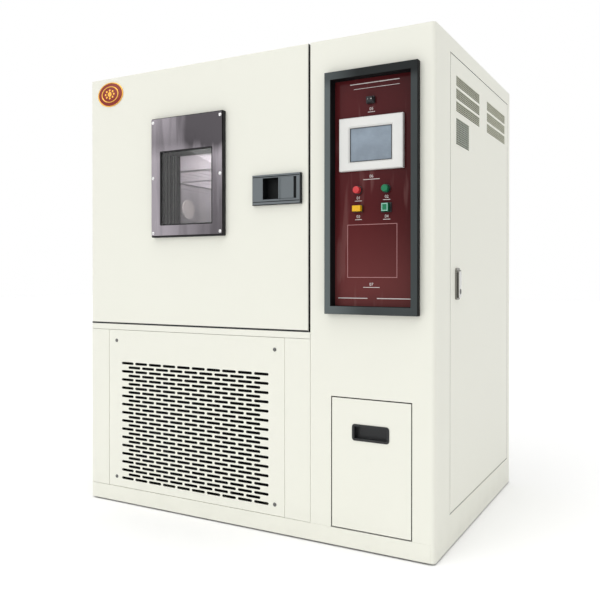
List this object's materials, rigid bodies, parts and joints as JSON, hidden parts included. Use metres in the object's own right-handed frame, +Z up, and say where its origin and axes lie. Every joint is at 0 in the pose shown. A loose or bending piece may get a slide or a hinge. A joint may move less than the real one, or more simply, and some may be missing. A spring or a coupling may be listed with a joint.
{
  "type": "environmental test chamber",
  "caption": "Floor-standing insulated climate chamber with window door, recessed control panel, slotted intake grille, water drawer and hinged side service door.",
  "frame": {"origin": "on the floor under the middle of the cabinet", "axes": "+X to the right seen from the front, +Y into the depth (the main door faces -Y), +Z up"},
  "size_m": [1.324, 0.964, 1.52],
  "materials": {
    "cream_paint": "semi-gloss powder coat",
    "stainless": "brushed",
    "polished_trim": "mirror polished",
    "zinc_plate": "zinc plated",
    "dark_trim": "matt black",
    "frame_grey": "satin dark grey",
    "latch_grey": "satin grey",
    "maroon_lacquer": "gloss lacquer",
    "display_bezel": "fine texture",
    "display_screen": "touch film",
    "black_plastic": "fine texture",
    "red_cap": "gloss",
    "green_cap": "gloss",
    "yellow_cap": "gloss",
    "pane_glass": "clear",
    "foam": "cut foam",
    "soft_black": "matt",
    "soft_white": "silicone",
    "fin_aluminium": "plain",
    "black_enamel": "gloss enamel",
    "tank_plastic": "natural",
    "device_plastic": "matt",
    "lamp_glass": "frosted",
    "vent_paint": "matt"
  },
  "bodies": {
    "cabinet": {"base_plinth": "cream_paint", "levelling_feet": "soft_black", "column_shell": "cream_paint", "cabinet_wrap": "cream_paint", "rear_panel": "cream_paint", "rear_motor_cover": "cream_paint", "lower_front_frame": "cream_paint", "intake_grille": "cream_paint", "grille_screws": "zinc_plate", "insulation_boards": "foam", "chamber_liner": "stainless", "cable_port": "soft_white", "air_baffle": "stainless", "specimen_shelves": "stainless", "chamber_lamp": "lamp_glass", "circulation_motor": "black_enamel", "evaporator": "fin_aluminium", "heater": "stainless", "cabinet_hinge_leaves": "zinc_plate", "column_partition": "cream_paint", "control_frame": "frame_grey", "control_panel": "maroon_lacquer", "display_case": "display_bezel", "display_screen": "display_screen", "switch_bodies": "black_plastic", "electrical_panel": "device_plastic", "compressor": "black_enamel", "condenser_coil": "fin_aluminium", "condenser_shroud": "zinc_plate", "steam_generator": "stainless", "drawer_rails_fixed": "zinc_plate", "service_hinge_pins": "zinc_plate"},
    "door": {"door_shell": "cream_paint", "door_core": "stainless", "door_gasket": "soft_black", "window_frame": "dark_trim", "window_plate": "polished_trim", "window_panes": "pane_glass", "door_hinge_leaves": "zinc_plate", "latch_case": "latch_grey"},
    "latch_paddle": {"latch_paddle": "latch_grey"},
    "latch_bolt": {"latch_bolt": "zinc_plate"},
    "fan_wheel": {"fan_wheel": "stainless"},
    "condenser_fan": {"condenser_fan": "fin_aluminium"},
    "drawer": {"drawer_front": "cream_paint", "drawer_pull": "black_plastic", "drawer_tray": "zinc_plate", "water_tank": "tank_plastic"},
    "slide_middles": {"drawer_rails_middle": "zinc_plate"},
    "tank_flap": {"tank_flap": "tank_plastic"},
    "service_door": {"service_door_panel": "cream_paint", "vent_screens": "vent_paint", "lock_plate": "polished_trim"},
    "lock_handle": {"lock_handle": "polished_trim"},
    "lock_button": {"lock_button": "black_plastic"},
    "stop_button": {"stop_button": "red_cap"},
    "start_button": {"start_button": "green_cap"},
    "mute_button": {"mute_button": "yellow_cap"},
    "mode_button": {"mode_button": "green_cap"},
    "rocker": {"rocker_paddle": "black_plastic"}
  },
  "joints": [
    {"name": "door_swing", "type": "hinge", "parent": "cabinet", "child": "door", "pos_m": [-0.656, -0.393, 1.08], "axis": [0, 0, -1], "range_deg": [0, 120]},
    {"name": "paddle_pull", "type": "hinge", "parent": "door", "child": "latch_paddle", "pos_m": [0.206, -0.465, 1.0835], "axis": [0, 0, 1], "range_deg": [0, 30], "stiffness_Nm_per_rad": 0.5},
    {"name": "bolt_draw", "type": "slide", "parent": "door", "child": "latch_bolt", "axis": [-1, 0, 0], "range_m": [0, 0.01]},
    {"name": "fan_spin", "type": "hinge", "parent": "cabinet", "child": "fan_wheel", "pos_m": [-0.201, 0.262, 1.09], "axis": [0, 1, 0], "continuous": true},
    {"name": "condenser_fan_spin", "type": "hinge", "parent": "cabinet", "child": "condenser_fan", "pos_m": [-0.201, -0.349, 0.32], "axis": [0, 1, 0], "continuous": true},
    {"name": "drawer_slide", "type": "slide", "parent": "cabinet", "child": "drawer", "axis": [0, -1, 0], "range_m": [0, 0.35]},
    {"name": "slide_middles_slide", "type": "slide", "parent": "cabinet", "child": "slide_middles", "axis": [0, -1, 0], "range_m": [0, 0.175]},
    {"name": "flap_lift", "type": "hinge", "parent": "drawer", "child": "tank_flap", "pos_m": [0.455, -0.286, 0.374], "axis": [-1, 0, 0], "range_deg": [0, 100]},
    {"name": "service_door_swing", "type": "hinge", "parent": "cabinet", "child": "service_door", "pos_m": [0.6455, 0.4075, 0.788], "axis": [0, 0, 1], "range_deg": [0, 100]},
    {"name": "lock_handle_lift", "type": "hinge", "parent": "service_door", "child": "lock_handle", "pos_m": [0.6573, -0.2535, 0.824], "axis": [0, -1, 0], "range_deg": [0, 35]},
    {"name": "lock_button_press", "type": "slide", "parent": "service_door", "child": "lock_button", "axis": [-1, 0, 0], "range_m": [0, 0.0025], "stiffness_N_per_m": 400},
    {"name": "stop_button_press", "type": "slide", "parent": "cabinet", "child": "stop_button", "axis": [0, 1, 0], "range_m": [0, 0.003], "stiffness_N_per_m": 400},
    {"name": "start_button_press", "type": "slide", "parent": "cabinet", "child": "start_button", "axis": [0, 1, 0], "range_m": [0, 0.003], "stiffness_N_per_m": 400},
    {"name": "mute_button_press", "type": "slide", "parent": "cabinet", "child": "mute_button", "axis": [0, 1, 0], "range_m": [0, 0.003], "stiffness_N_per_m": 400},
    {"name": "mode_button_press", "type": "slide", "parent": "cabinet", "child": "mode_button", "axis": [0, 1, 0], "range_m": [0, 0.003], "stiffness_N_per_m": 400},
    {"name": "rocker_tilt", "type": "hinge", "parent": "cabinet", "child": "rocker", "pos_m": [0.4525, -0.458, 1.325], "axis": [-1, 0, 0], "range_deg": [0, 18]}
  ],
  "couplings": [
    {"joint": "bolt_draw", "follows": "paddle_pull", "m_per_rad": 0.019098},
    {"joint": "slide_middles_slide", "follows": "drawer_slide", "ratio": 0.5}
  ]
}
